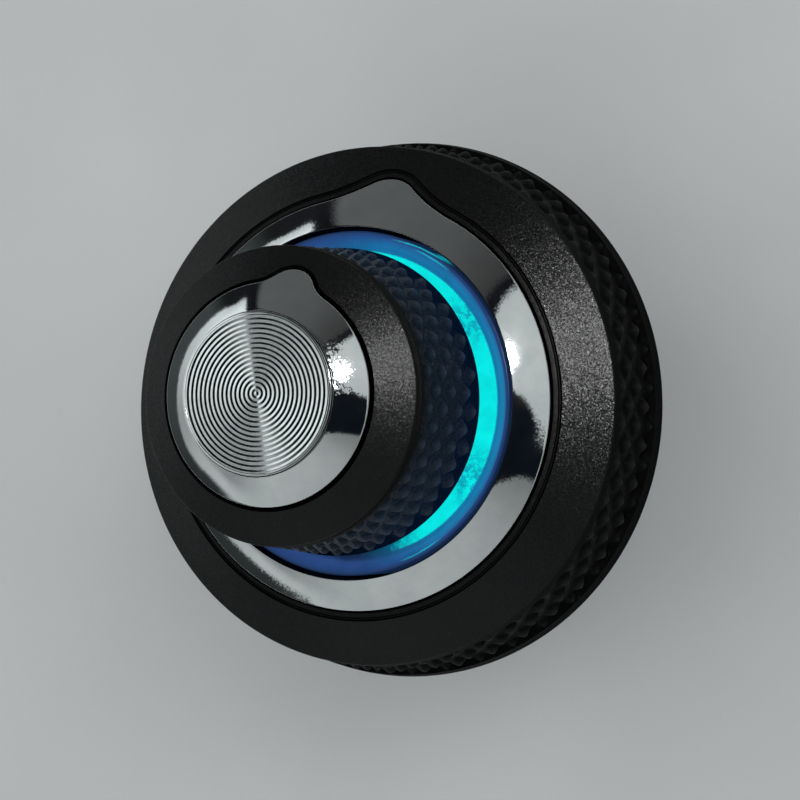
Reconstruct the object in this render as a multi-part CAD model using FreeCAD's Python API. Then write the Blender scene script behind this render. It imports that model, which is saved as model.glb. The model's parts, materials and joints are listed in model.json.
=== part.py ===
import FreeCAD, Part
import math
import os

from FreeCAD import Vector

# Dual-knob panel remote for a car audio system.
# Frame: +Z is the knob axis, towards the user. z = 0 is the front face of the foam
# gasket, which is the rear face of the panel the remote is fitted to. +Y is 12 o'clock,
# where the outer pointer stands at rest. Millimetres.

os.makedirs("parts", exist_ok=True)

# ---------------------------------------------------------------- driving dimensions
# panel and its clamp
panel_gap = 2.5            # panel thickness the clamp stands open for
neck_r = 11.0              # crest of the M22 x 1 thread
neck_root_r = 10.42
neck_bore_r = 9.0
neck_top = 7.0
thread_pitch = 1.0
gasket_t = 0.8
flange_r = 13.8
washer_t = 0.6
nut_t = 2.6
nut_r = 13.4

# rear case
case_x0, case_x1 = -15.5, 9.2
case_y = 11.0
case_r_left, case_r_right = 3.0, 8.0
case_wall = 1.4
front_wall = 2.0
case_back = -16.2          # joint between housing and cover
cover_t = 1.6

# board
board_top = -3.2
board_t = 1.6
board_back = board_top - board_t

# outer knob (heights from the panel seat)
z_ring = 11.3              # outer edge of the outer bright ring
knob_base = 3.3            # rim of the outer knob
outer_r_base, outer_r_front = 17.1, 15.98
face_out_r, face_out_z = 15.78, z_ring - 1.80
face_in_r, face_in_z = 13.20, z_ring - 0.32
ring_out_r = 12.58
ring_in_r, ring_in_z = 10.62, z_ring + 1.37
web_low, web_top = 8.5, 9.5
skirt_in_r = 14.9
dish_r, dish_z = 10.42, z_ring + 0.96
dish_floor_r = 9.30
dish_floor_z = z_ring
ring_slope = (ring_in_z - z_ring) / (ring_out_r - ring_in_r)

# pointer outline of the outer ring: tip circle, concave blend to the ring circle
out_tip_c, out_tip_r, out_blend = 11.68, 2.20, 12.0
groove = 0.62

# inner knob
in_skirt_z = 13.8
in_r_base, in_r_front = 9.2, 8.54
in_face_out_r, in_face_out_z = 8.48, z_ring + 10.50
in_face_in_r, in_face_in_z = 6.60, z_ring + 11.70
in_ring_out_r, in_ring_out_z = 6.31, z_ring + 11.91
disc_r, disc_z = 4.58, z_ring + 13.14
in_ring_slope = (disc_z - in_ring_out_z) / (in_ring_out_r - disc_r)
in_seat_z = 22.0
in_tip_c, in_tip_r, in_blend = 5.68, 1.50, 2.5
in_groove = 0.29
inner_rest_turn = -4.5     # inner pointer stands this far past 12 o'clock, clockwise
push_travel = 0.5

# shafts
inner_shaft_r = 1.50
outer_shaft_r, outer_shaft_bore = 3.00, 1.56
bushing_r, bushing_bore = 4.50, 3.05
pot_r = 6.0

Z = Vector(0, 0, 1)
O = Vector(0, 0, 0)


# ---------------------------------------------------------------- helpers
def rev(points):
    """Solid of revolution about Z from a closed polygon of (r, z)."""
    pts = [Vector(r, 0, z) for r, z in points]
    wire = Part.makePolygon(pts + [pts[0]])
    return Part.Face(wire).revolve(O, Z, 360)


def cyl(r, z0, z1, x=0.0, y=0.0):
    return Part.makeCylinder(r, z1 - z0, Vector(x, y, z0))


def tube(r0, r1, z0, z1, x=0.0, y=0.0):
    return cyl(r1, z0, z1, x, y).cut(cyl(r0, z0 - 1, z1 + 1, x, y))


def cone(r0, r1, z0, z1, x=0.0, y=0.0):
    return Part.makeCone(r0, r1, z1 - z0, Vector(x, y, z0), Z)


def box(x0, x1, y0, y1, z0, z1):
    return Part.makeBox(x1 - x0, y1 - y0, z1 - z0, Vector(x0, y0, z0))


def turned(shape, deg):
    s = shape.copy()
    s.rotate(O, Z, deg)
    return s


def rrect(x0, x1, y0, y1, rl, rr, z0, z1):
    """Prism with a rounded rectangle outline: rl rounds the -X corners, rr the +X ones."""
    q = math.sqrt(0.5)

    def at(cx, cy, r, ux, uy):
        return Vector(cx + r * ux, cy + r * uy, z0)

    e = [
        Part.LineSegment(Vector(x0 + rl, y0, z0), Vector(x1 - rr, y0, z0)).toShape(),
        Part.Arc(at(x1 - rr, y0 + rr, rr, 0, -1), at(x1 - rr, y0 + rr, rr, q, -q), at(x1 - rr, y0 + rr, rr, 1, 0)).toShape(),
        Part.LineSegment(Vector(x1, y0 + rr, z0), Vector(x1, y1 - rr, z0)).toShape(),
        Part.Arc(at(x1 - rr, y1 - rr, rr, 1, 0), at(x1 - rr, y1 - rr, rr, q, q), at(x1 - rr, y1 - rr, rr, 0, 1)).toShape(),
        Part.LineSegment(Vector(x1 - rr, y1, z0), Vector(x0 + rl, y1, z0)).toShape(),
        Part.Arc(at(x0 + rl, y1 - rl, rl, 0, 1), at(x0 + rl, y1 - rl, rl, -q, q), at(x0 + rl, y1 - rl, rl, -1, 0)).toShape(),
        Part.LineSegment(Vector(x0, y1 - rl, z0), Vector(x0, y0 + rl, z0)).toShape(),
        Part.Arc(at(x0 + rl, y0 + rl, rl, -1, 0), at(x0 + rl, y0 + rl, rl, -q, -q), at(x0 + rl, y0 + rl, rl, 0, -1)).toShape(),
    ]
    return Part.Face(Part.Wire(e)).extrude(Vector(0, 0, z1 - z0))


def pointer_prism(R, c, rho, blend, z0, z1):
    """Prism whose outline is a circle of radius R with a rounded pointer at +Y.

    The pointer's tip is a circle of radius rho about (0, c); a concave arc of radius
    blend joins it to the ring circle on each side."""
    far, near = R + blend, rho + blend
    a = math.acos((far * far + c * c - near * near) / (2 * far * c))
    bx, by = far * math.sin(a), far * math.cos(a)
    t1 = (R * math.sin(a), R * math.cos(a))
    d = math.hypot(bx, by - c)
    t2 = (rho * bx / d, c + rho * (by - c) / d)
    m = ((t1[0] + t2[0]) / 2 - bx, (t1[1] + t2[1]) / 2 - by)
    k = blend / math.hypot(*m)
    mid = (bx + m[0] * k, by + m[1] * k)

    def v(p, s=1):
        return Vector(s * p[0], p[1], z0)

    edges = [
        Part.Arc(v(t2, -1), Vector(0, c + rho, z0), v(t2)).toShape(),
        Part.Arc(v(t2), v(mid), v(t1)).toShape(),
        Part.Arc(v(t1), Vector(0, -R, z0), v(t1, -1)).toShape(),
        Part.Arc(v(t1, -1), v(mid, -1), v(t2, -1)).toShape(),
    ]
    return Part.Face(Part.Wire(edges)).extrude(Vector(0, 0, z1 - z0))


def sector(r0, r1, z0, z1, mid_deg, half_deg):
    """Part of a ring, centred on mid_deg clockwise from +Y."""
    big = r1 * 2.5
    pts = [O]
    for s in (-1, 0, 1):
        a = math.radians(mid_deg + s * half_deg)
        pts.append(Vector(big * math.sin(a), big * math.cos(a), 0))
    wedge = Part.Face(Part.makePolygon(pts + [pts[0]])).extrude(Vector(0, 0, z1 - z0))
    wedge.translate(Vector(0, 0, z0))
    return tube(r0, r1, z0, z1).common(wedge)


def spot(r, deg):
    """Point at radius r, deg clockwise from +Y."""
    a = math.radians(deg)
    return r * math.sin(a), r * math.cos(a)


def radial_box(r0, r1, width, z0, z1, deg):
    b = box(-width / 2, width / 2, r0, r1, z0, z1)
    return turned(b, -deg)


def save(name, *solids):
    out = []
    for s in solids:
        s = s.removeSplitter()
        out += s.Solids
    for s in out:
        if not s.isValid():
            print("NOT VALID", name)
    shape = out[0] if len(out) == 1 else Part.makeCompound(out)
    shape.exportStep("parts/%s.step" % name)
    made[name] = shape


made = {}

# ================================================================ REAR CASE
cover_posts = [(-12.8, 8.6), (-12.8, -8.6), (5.0, 6.8), (5.0, -6.8)]
board_posts = [(-8.0, 7.7), (-8.0, -7.7)]
jack_y = 5.9
jack_x1 = -2.8
jack_z0 = -15.8

# ---- front housing: flange, threaded neck, side walls, bosses
shell = rrect(case_x0, case_x1, -case_y, case_y, case_r_left, case_r_right, case_back, -gasket_t)
shell = shell.fuse(cyl(flange_r, -gasket_t - front_wall, -gasket_t))
cavity = rrect(case_x0 + case_wall, case_x1 - case_wall, -case_y + case_wall, case_y - case_wall,
               case_r_left - case_wall, case_r_right - case_wall, case_back - 1, -gasket_t - front_wall)
shell = shell.cut(cavity)
# thread: parallel ridges at the thread's pitch and depth
ridges = [(neck_bore_r, -gasket_t - 0.5), (neck_root_r + 0.4, -gasket_t - 0.5), (neck_root_r + 0.4, 0.2), (neck_root_r, 0.5)]
z = 0.5
while z + thread_pitch <= neck_top - 0.45:
    ridges += [(neck_root_r, z + 0.10), (neck_r, z + 0.42), (neck_r, z + 0.58), (neck_root_r, z + 0.90)]
    z += thread_pitch
ridges += [(neck_root_r, neck_top - 0.2), (neck_root_r - 0.2, neck_top), (neck_bore_r, neck_top)]
shell = shell.fuse(rev(ridges))
shell = shell.cut(cyl(neck_bore_r, -gasket_t - front_wall, neck_top + 1))
for x, y in cover_posts:
    post = cyl(1.9, case_back, -5.3, x, y)
    # post grows out of the side wall
    corner = box(*sorted((x, math.copysign(99, x))), *sorted((y, math.copysign(99, y))), case_back, -5.3)
    gusset = corner.common(rrect(case_x0 + 0.4, case_x1 - 0.4, -case_y + 0.4, case_y - 0.4, case_r_left - 0.4, case_r_right - 0.4, case_back, -5.3))
    if x > 0:
        gusset = gusset.common(cyl(3.2, case_back, -5.3, x + 0.8, y + math.copysign(0.8, y)))
    shell = shell.fuse(post).fuse(gusset)
for x, y in cover_posts:
    shell = shell.cut(cyl(1.02, case_back - 1, case_back + 6.5, x, y))
for x, y in board_posts:
    shell = shell.fuse(cyl(1.7, board_top, -gasket_t - 0.5, x, y))
    shell = shell.cut(cyl(0.82, board_top - 1, -1.45, x, y))
# ledge that the board rests on at its +X edge, and the window for the socket
shell = shell.fuse(box(case_x1 - case_wall - 0.75, case_x1 - 0.5, -1.8, 1.8, board_top, -gasket_t - front_wall))
shell = shell.cut(box(case_x0 - 1, case_x0 + case_wall + 0.2, -jack_y - 0.12, jack_y + 0.12, case_back - 1, board_back + 0.15))
save("front_housing", shell)

# ---- rear cover, with countersunk screw holes and two locating ribs
cover = rrect(case_x0, case_x1, -case_y, case_y, case_r_left, case_r_right, case_back - cover_t, case_back)
edges = [e for e in cover.Edges if all(abs(v.Point.z - (case_back - cover_t)) < 1e-6 for v in e.Vertexes)]
cover = cover.makeFillet(0.45, edges)
for s in (1, -1):
    cover = cover.fuse(box(-9.5, 0.5, s * 9.4 - (1.1 if s > 0 else 0), s * 9.4 + (0 if s > 0 else 1.1), case_back - 0.2, case_back + 1.3))
# a tongue that closes the window under the socket
cover = cover.fuse(box(case_x0, case_x0 + case_wall, -jack_y, jack_y, case_back - 0.2, jack_z0 - 0.02))
for x, y in cover_posts:
    cover = cover.cut(cyl(1.15, case_back - 3, case_back + 1, x, y))
    cover = cover.cut(cone(2.05, 1.15, case_back - cover_t, case_back - cover_t + 0.9, x, y))
save("rear_cover", cover)

# ---- cover screws: countersunk, cross recess
screws = []
for x, y in cover_posts:
    head = cone(1.95, 1.05, case_back - cover_t + 0.06, case_back - cover_t + 0.96, x, y)
    shank = cyl(0.98, case_back - cover_t + 0.5, case_back + 4.4, x, y)
    tip = cone(0.98, 0.35, case_back + 4.4, case_back + 5.3, x, y)
    s = head.fuse(shank).fuse(tip)
    for w, l in ((0.34, 1.9), (1.9, 0.34)):
        s = s.cut(box(x - w / 2, x + w / 2, y - l / 2, y + l / 2, case_back - cover_t - 1, case_back - cover_t + 0.62))
    screws.append(s)
save("cover_screws", *screws)

# ---- panel clamp: foam gasket, toothed lock washer, slotted ring nut
save("panel_gasket", tube(neck_root_r + 0.62, flange_r - 0.1, -gasket_t, 0))

washer = tube(neck_r + 0.12, 12.6, panel_gap, panel_gap + washer_t)
for i in range(20):
    tooth = box(-0.75, 0.75, 12.3, 13.6, panel_gap + 0.05, panel_gap + washer_t - 0.05)
    tooth.rotate(Vector(0, 13, panel_gap + washer_t / 2), Vector(0, 1, 0), 7)
    tooth = tooth.common(tube(12.3, 13.6, panel_gap, panel_gap + washer_t))
    washer = washer.fuse(turned(tooth, i * 18))
save("lock_washer", washer)

z0 = panel_gap + washer_t
nut = rev([(neck_r + 0.06, z0 + 0.3), (neck_r + 0.36, z0), (nut_r - 0.25, z0), (nut_r, z0 + 0.25), (nut_r, z0 + nut_t - 0.35),
           (nut_r - 0.35, z0 + nut_t), (neck_r + 0.36, z0 + nut_t), (neck_r + 0.06, z0 + nut_t - 0.3)])
for i in range(6):
    nut = nut.cut(radial_box(12.55, 15, 2.2, z0 - 1, z0 + nut_t + 1, i * 60))
save("ring_nut", nut)

# ================================================================ BOARD
board = rrect(-13.7, 7.6, -9.3, 9.3, 1.2, 6.3, board_back, board_top)
for x, y in cover_posts:
    board = board.cut(cyl(2.1, -9, 0, x, y))
    board = board.cut(box(*(sorted((x, math.copysign(20, x)))), *(sorted((y, math.copysign(20, y)))), -9, 0))
for x, y in board_posts:
    board = board.cut(cyl(0.95, -9, 0, x, y))
pins = [(-10, 4.3), (18, 4.3), (46, 4.3), (74, 1.9), (102, 1.9), (130, 1.9), (158, 0.0), (186, 0.0)]
for a, top in pins:
    x, y = spot(6.2, a)
    board = board.cut(cyl(0.58, -9, 0, x, y))
contact_y = [(-2.55 + 1.02 * i) for i in range(6)]
jack_pins = [(-10.2 if i % 2 else -8.2, contact_y[i]) for i in range(6)]
for x, y in jack_pins:
    board = board.cut(cyl(0.40, -9, 0, x, y))
for s in (1, -1):
    board = board.cut(cyl(0.72, -9, 0, -12.2, s * 4.4))
save("circuit_board", board)

screws = []
for x, y in board_posts:
    s = cyl(1.6, board_back - 0.9, board_back, x, y)
    s = s.makeFillet(0.3, [e for e in s.Edges if e.BoundBox.ZMax < board_back - 0.8])
    s = s.fuse(cyl(0.78, board_back - 0.1, -1.8, x, y))
    for w, l in ((0.3, 1.7), (1.7, 0.3)):
        s = s.cut(box(x - w / 2, x + w / 2, y - l / 2, y + l / 2, board_back - 2, board_back - 0.45))
    screws.append(s)
save("board_screws", *screws)

leds = []
for i in range(6):
    b = box(-1.0, 1.0, 6.85, 8.05, board_top, board_top + 0.7)
    b = b.makeFillet(0.12, [e for e in b.Edges if e.BoundBox.ZMin > board_top + 0.6])
    leds.append(turned(b, -i * 60))
save("ring_leds", *leds)

chip = box(-0.4, 4.6, -2.0, 2.0, board_back - 1.45, board_back - 0.1)
chip = chip.makeChamfer(0.12, [e for e in chip.Edges if e.BoundBox.ZMax < board_back - 1.3])
chip = chip.cut(cyl(0.3, board_back - 2, board_back - 1.37, 0.3, -1.3))
for i in range(4):
    for s in (1, -1):
        x = 0.2 + i * 1.27
        y0, y1 = sorted((s * 2.0, s * 2.55))
        chip = chip.fuse(box(x - 0.2, x + 0.2, y0, y1, board_back - 0.85, board_back - 0.65))
        y0, y1 = sorted((s * 2.45, s * 2.65))
        chip = chip.fuse(box(x - 0.2, x + 0.2, y0, y1, board_back - 0.85, board_back - 0.02))
        y0, y1 = sorted((s * 2.45, s * 3.1))
        chip = chip.fuse(box(x - 0.2, x + 0.2, y0, y1, board_back - 0.17, board_back))
save("controller_chip", chip)

caps = []
for x, y, turn in ((0.4, 8.0, 0), (0.4, -8.0, 0), (-4.6, 7.9, 90), (-4.6, -7.9, 90), (-2.7, 7.9, 90), (-2.7, -7.9, 90)):
    b = box(-1.0, 1.0, -0.62, 0.62, board_back - 0.9, board_back)
    b = b.makeFillet(0.1, [e for e in b.Edges if e.BoundBox.ZMax < board_back - 0.85])
    b.rotate(O, Z, turn)
    b.translate(Vector(x, y, 0))
    caps.append(b)
save("chip_capacitors", *caps)

# ---- modular socket for the cable, opening towards -X
jack = box(case_x0, jack_x1, -jack_y, jack_y, jack_z0, board_back)
jack = jack.makeChamfer(0.3, [e for e in jack.Edges if e.BoundBox.XMin > jack_x1 - 0.01 and e.BoundBox.XMax < jack_x1 + 0.01])
jack = jack.cut(box(case_x0 - 1, -4.4, -4.9, 4.9, -15.0, -8.0))       # plug body
jack = jack.cut(box(case_x0 - 1, -6.2, -2.1, 2.1, -8.1, -5.9))        # latch way
jack = jack.cut(box(case_x0 - 1, case_x0 + 0.8, -3.1, 3.1, -8.1, -6.9))   # latch shoulder relief
for s in (1, -1):
    jack = jack.fuse(cyl(0.66, board_back - 0.2, board_back + 1.1, -12.2, s * 4.4))
for y in contact_y:
    jack = jack.cut(box(-4.9, -3.6, y - 0.27, y + 0.27, -15.01, board_back + 0.1))   # wire slots up the back wall
save("jack_shell", jack)

wires = []
for (px, _), y in zip(jack_pins, contact_y):
    r = 0.21
    a, b = Vector(-4.25, y, -14.55), Vector(-12.6, y, -13.55)
    w = Part.makeCylinder(r, (b - a).Length, a, b - a)
    w = w.fuse(Part.makeSphere(r, a)).fuse(Part.makeSphere(r, b))
    up = Vector(-4.25, y, -5.15)
    w = w.fuse(Part.makeCylinder(r, (up - a).Length, a, up - a)).fuse(Part.makeSphere(r, up))
    wires.append(w)
save("jack_contacts", *wires)

tails = []
for x, y in jack_pins:
    tails.append(cyl(0.26, board_back, board_top - 0.15, x, y))
save("jack_solder_tails", *tails)

# ================================================================ LIGHT PIPE
pipe = rev([(6.55, -2.2), (8.9, -2.2), (8.9, neck_top), (9.85, neck_top), (9.95, neck_top + 0.1), (9.95, 7.5), (9.85, 7.6),
            (4.62, 7.6), (4.62, 6.4), (6.55, 6.4)])
save("light_pipe", pipe)

# ================================================================ TWIN POTENTIOMETER
# stack from the board forward: push switch, inner track, inner rotor, divider, outer rotor, outer track, bushing
sw_top = 0.2
switch = rev([(0, board_top), (pot_r, board_top), (pot_r, sw_top), (2.1, sw_top), (2.1, sw_top - 0.45), (4.65, sw_top - 0.45),
              (4.65, board_top + 0.5), (0, board_top + 0.5)])
save("switch_base", switch)

dome = rev([(0, -2.02), (0.9, -2.05), (1.9, -2.2), (2.9, -2.52), (2.9, -2.68), (2.75, -2.68), (1.85, -2.36), (0.9, -2.2), (0, -2.17)])
save("contact_dome", dome)

plunger = rev([(0, -1.35), (0.7, -1.5), (1.2, -1.35), (4.35, -1.35), (4.35, -0.75), (2.0, -0.75), (2.0, 0.1), (0, 0.1)])
save("switch_plunger", plunger)

# return coil between the switch floor and the plunger flange
wire_r, coil_r, turns, h = 0.13, 3.75, 2.6, 0.98
helix = Part.makeHelix(h / turns, h, coil_r)
prof = Part.Wire([Part.Circle(Vector(coil_r, 0, 0), Vector(0, 1, h / turns / (2 * math.pi * coil_r)), wire_r).toShape()])
coil = Part.Wire(helix.Edges).makePipeShell([prof], True, True)
coil.translate(Vector(0, 0, -2.7 + wire_r + 0.03))
save("return_spring", coil)

case = tube(5.3, pot_r, sw_top, 5.0)
case = case.fuse(tube(2.1, 5.5, 2.45, 2.85))
# fixed stops at 6 o'clock for both rotors
case = case.fuse(sector(4.75, 5.5, 3.2, 4.1, 180, 14.6)).fuse(sector(4.75, 5.5, 0.95, 2.0, 180, 14.6))
save("pot_case", case)

save("inner_track", tube(2.3, 5.26, sw_top, 0.7))
save("outer_track", tube(3.4, 5.26, 4.4, 5.0))

bush = rev([(bushing_bore, 5.0), (pot_r, 5.0), (pot_r, 5.8), (bushing_r, 5.8), (bushing_r, 7.7), (bushing_r - 0.2, 7.9), (bushing_bore, 7.9)])
save("pot_bushing", bush)

terms = []
for a, top in pins:
    terms.append(radial_box(6.03, 6.33, 0.8, board_back - 0.7, top, a))
save("pot_terminals", *terms)

# ---- inner rotor: turned by the inner shaft, which slides through its D bore
rotor = cyl(4.6, 1.1, 1.75).fuse(cyl(2.6, 1.1, 2.35)).fuse(sector(3.8, 5.2, 1.1, 1.75, 0, 14.6))
bore = cyl(inner_shaft_r + 0.06, 0, 4).cut(box(1.07, 5, -5, 5, 0, 4))
rotor = rotor.cut(bore)
save("inner_rotor", turned(rotor, inner_rest_turn))
finger = sector(3.3, 4.3, 0.95, 1.1, 0, 24)
for a in (-17, 17):
    x, y = spot(3.8, a)
    finger = finger.fuse(cyl(0.28, 0.76, 1.0, x, y))
save("inner_wiper", turned(finger, inner_rest_turn))

# ---- outer rotor: fixed on the outer shaft
rotor = tube(outer_shaft_r + 0.01, 4.6, 3.3, 4.05).fuse(sector(3.8, 5.2, 3.3, 4.05, 0, 14.6))
save("outer_rotor", rotor)
finger = sector(3.6, 4.5, 4.05, 4.2, 0, 24)
for a in (-17, 17):
    x, y = spot(4.05, a)
    finger = finger.fuse(cyl(0.28, 4.1, 4.34, x, y))
save("outer_wiper", finger)

# ================================================================ OUTER KNOB
shaft = tube(outer_shaft_bore, outer_shaft_r, 3.1, 12.9)
shaft = shaft.makeChamfer(0.25, [e for e in shaft.Edges if e.BoundBox.ZMin > 12.8 and e.BoundBox.XMax > 2.5])
shaft = shaft.cut(box(-5, -2.55, -5, 5, 8.3, 14))                       # driving flat
save("outer_shaft", shaft)

dish = rev([(outer_shaft_r + 0.02, 8.3), (5.0, 8.3), (5.0, web_top), (dish_r, web_top), (dish_r, dish_z - 0.08), (dish_r - 0.1, dish_z),
            (dish_r - 0.28, dish_z - 0.02), (dish_floor_r, dish_floor_z), (4.9, dish_floor_z), (4.9, 11.1), (4.15, 11.1), (4.15, 12.3),
            (4.05, 12.5), (outer_shaft_r + 0.02, 12.5)])
dish = dish.fuse(box(-3.6, -2.57, -2.0, 2.0, 8.3, 12.5).common(cyl(3.5, 8, 13)))   # flat in the hub bore
for a in (45, 135):
    dish = dish.cut(turned(box(-5, 5, -0.3, 0.3, 11.35, 13), a))       # slots that let the hub grip
save("light_dish", dish)

clip = tube(4.18, 4.72, 11.45, 12.05).cut(box(-0.8, 0.8, -6, -3, 11, 13))
save("hub_spring_ring", clip)

body = rev([(skirt_in_r, knob_base), (outer_r_base - 0.15, knob_base), (outer_r_base, knob_base + 0.15),
            (outer_r_front, face_out_z - 0.40), (outer_r_front - 0.06, face_out_z - 0.18), (face_out_r - 0.12, face_out_z + 0.03),
            (face_in_r - 0.5, face_in_z + 0.286), (face_in_r - 0.5, web_top), (9.75, web_top), (9.75, web_low), (skirt_in_r, web_low)])
recess = pointer_prism(face_in_r, out_tip_c, out_tip_r + groove, out_blend - groove, web_top, 14)
recess = recess.cut(cyl(ring_in_r - 0.04, 0, 20))
body = body.cut(recess)
save("outer_knob_shell", body)

# bright ring, with its pointer at 12 o'clock
r1 = 14.4
ring = rev([(ring_in_r, web_top), (ring_in_r, ring_in_z - 0.12), (ring_in_r + 0.08, ring_in_z - 0.02), (ring_in_r + 0.2, ring_in_z - 0.2 * ring_slope),
            (r1, ring_in_z - (r1 - ring_in_r) * ring_slope), (r1, web_top)])
ring = ring.common(pointer_prism(ring_out_r, out_tip_c, out_tip_r, out_blend, 0, 20))
save("outer_bright_ring", ring)

# ================================================================ INNER KNOB
shaft = cyl(inner_shaft_r, 0.1, 21.2)
shaft = shaft.makeChamfer(0.2, [e for e in shaft.Edges if e.BoundBox.ZMin > 21])
shaft = shaft.cut(box(1.0, 5, -5, 5, 0, 2.95)).cut(box(1.0, 5, -5, 5, 14.0, 22))
save("inner_shaft", turned(shaft, inner_rest_turn))

body = rev([(0, in_seat_z), (0, 21.4), (inner_shaft_r + 0.05, 21.4), (inner_shaft_r + 0.05, 14.2), (3.3, 14.2), (3.5, 20.7), (7.1, 20.7), (7.55, 20.2),
            (7.75, in_skirt_z), (in_r_base - 0.15, in_skirt_z), (in_r_base, in_skirt_z + 0.15), (in_r_front, in_face_out_z - 0.34),
            (in_r_front - 0.05, in_face_out_z - 0.14), (in_face_out_r - 0.12, in_face_out_z + 0.06), (in_face_in_r - 0.4, in_face_in_z + 0.256),
            (in_face_in_r - 0.4, in_seat_z)])
body = body.cut(pointer_prism(in_face_in_r, in_tip_c, in_tip_r + in_groove, in_blend - in_groove, in_seat_z, 26))
body = body.fuse(box(1.32, 2.6, -1.6, 1.6, 14.2, 21.4))                # flat side of the D bore
body = body.cut(box(1.0, 1.34, -1.2, 1.2, 14.0, 20.6))
save("inner_knob_shell", turned(body, inner_rest_turn))

leaf = box(1.03, 1.28, -1.0, 1.0, 14.8, 20.2)
save("knob_leaf_spring", turned(leaf, inner_rest_turn))

r0, r1 = disc_r + 0.02, 7.6
ring = rev([(r0, in_seat_z), (r0, disc_z - 0.06), (r0 + 0.08, disc_z - 0.1 * in_ring_slope), (r1, disc_z - (r1 - disc_r) * in_ring_slope), (r1, in_seat_z)])
ring = ring.common(pointer_prism(in_ring_out_r, in_tip_c, in_tip_r, in_blend, 0, 30))
save("inner_bright_ring", turned(ring, inner_rest_turn))

# spun disc: concentric turning grooves, pitch 0.27
pts = [(0, in_seat_z), (0, disc_z - 0.03)]
n, pitch = 16, 0.272
for i in range(n):
    a = 0.10 + i * pitch
    pts += [(a, disc_z - 0.03), (a + 0.09, disc_z - 0.10), (a + 0.18, disc_z - 0.03)]
pts += [(disc_r - 0.06, disc_z - 0.02), (disc_r, disc_z - 0.08), (disc_r, in_seat_z)]
save("spun_disc", rev(pts))

print(len(made), "nodes")
vol = sum(s.Volume for s in made.values())
print("volume mm3", round(vol, 1))
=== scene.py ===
import bmesh
import bpy
import json
import math
import numpy as np
from mathutils import Matrix, Vector

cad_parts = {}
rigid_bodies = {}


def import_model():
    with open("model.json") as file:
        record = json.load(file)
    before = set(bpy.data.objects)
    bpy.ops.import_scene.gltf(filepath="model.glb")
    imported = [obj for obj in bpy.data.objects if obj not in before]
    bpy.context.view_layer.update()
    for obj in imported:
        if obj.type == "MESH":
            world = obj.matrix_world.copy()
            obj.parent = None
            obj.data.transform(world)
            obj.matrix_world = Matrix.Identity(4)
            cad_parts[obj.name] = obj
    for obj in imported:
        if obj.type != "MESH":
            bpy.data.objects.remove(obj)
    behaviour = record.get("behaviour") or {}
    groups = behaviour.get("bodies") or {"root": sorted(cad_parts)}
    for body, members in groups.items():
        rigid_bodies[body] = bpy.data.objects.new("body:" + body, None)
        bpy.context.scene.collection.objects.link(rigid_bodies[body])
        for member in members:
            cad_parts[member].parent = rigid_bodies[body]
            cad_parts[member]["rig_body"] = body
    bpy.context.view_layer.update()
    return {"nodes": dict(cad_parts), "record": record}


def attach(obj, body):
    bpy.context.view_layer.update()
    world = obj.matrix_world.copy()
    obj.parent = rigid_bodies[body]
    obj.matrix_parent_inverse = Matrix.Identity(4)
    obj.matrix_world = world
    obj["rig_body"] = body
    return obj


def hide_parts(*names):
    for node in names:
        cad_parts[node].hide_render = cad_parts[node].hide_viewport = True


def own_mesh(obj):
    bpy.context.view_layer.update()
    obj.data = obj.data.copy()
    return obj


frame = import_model()
nodes = frame["nodes"]

MM = 0.001

# ================================================================ sizes, as in the structural model, in millimetres
z_ring = 11.3
knob_base = 3.3
outer_r_base, outer_r_front = 17.1, 15.98
face_out_r, face_out_z = 15.78, z_ring - 1.80
face_in_r, face_in_z = 13.20, z_ring - 0.32
ring_out_r = 12.58
ring_in_r, ring_in_z = 10.62, z_ring + 1.37
web_low, web_top = 8.5, 9.5
skirt_in_r = 14.9
dish_r, dish_z = 10.42, z_ring + 0.96
dish_floor_r, dish_floor_z = 9.30, z_ring
ring_slope = (ring_in_z - z_ring) / (ring_out_r - ring_in_r)
face_slope = (face_in_z - face_out_z) / (face_out_r - face_in_r)
out_tip = (11.68, 2.20, 12.0)          # tip circle's centre and radius, blend radius
groove = 0.62

in_skirt_z = 13.8
in_r_base, in_r_front = 9.2, 8.54
in_face_out_r, in_face_out_z = 8.48, z_ring + 10.50
in_face_in_r, in_face_in_z = 6.60, z_ring + 11.70
in_ring_out_r, in_ring_out_z = 6.31, z_ring + 11.91
disc_r, disc_z = 4.58, z_ring + 13.14
in_ring_slope = (disc_z - in_ring_out_z) / (in_ring_out_r - disc_r)
in_face_slope = (in_face_in_z - in_face_out_z) / (in_face_out_r - in_face_in_r)
in_seat_z = 22.0
in_tip = (5.68, 1.50, 2.5)
in_groove = 0.29
inner_rest_turn = -4.5


# ================================================================ mesh building
def outline(phi, R, tip, d=0.0):
    """Distance from the axis of the ring outline with its pointer at +Y, grown by d, at angles phi from +Y."""
    c, rho, blend = tip
    R, rho, blend = R + d, rho + d, blend - d
    far, near = R + blend, rho + blend
    a = math.acos((far * far + c * c - near * near) / (2 * far * c))
    bx, by = far * math.sin(a), far * math.cos(a)
    n = math.hypot(bx, by - c)
    t2x, t2y = rho * bx / n, c + rho * (by - c) / n
    a2 = math.atan2(t2x, t2y)
    p = np.abs((phi + np.pi) % (2 * np.pi) - np.pi)
    out = np.full_like(p, R)
    tipped = p <= a2
    out[tipped] = c * np.cos(p[tipped]) + np.sqrt(rho ** 2 - (c * np.sin(p[tipped])) ** 2)
    mid = (p > a2) & (p < a)
    m = bx * np.sin(p[mid]) + by * np.cos(p[mid])
    out[mid] = m - np.sqrt(np.maximum(m * m - (far * far - blend * blend), 0))
    return out


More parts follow.
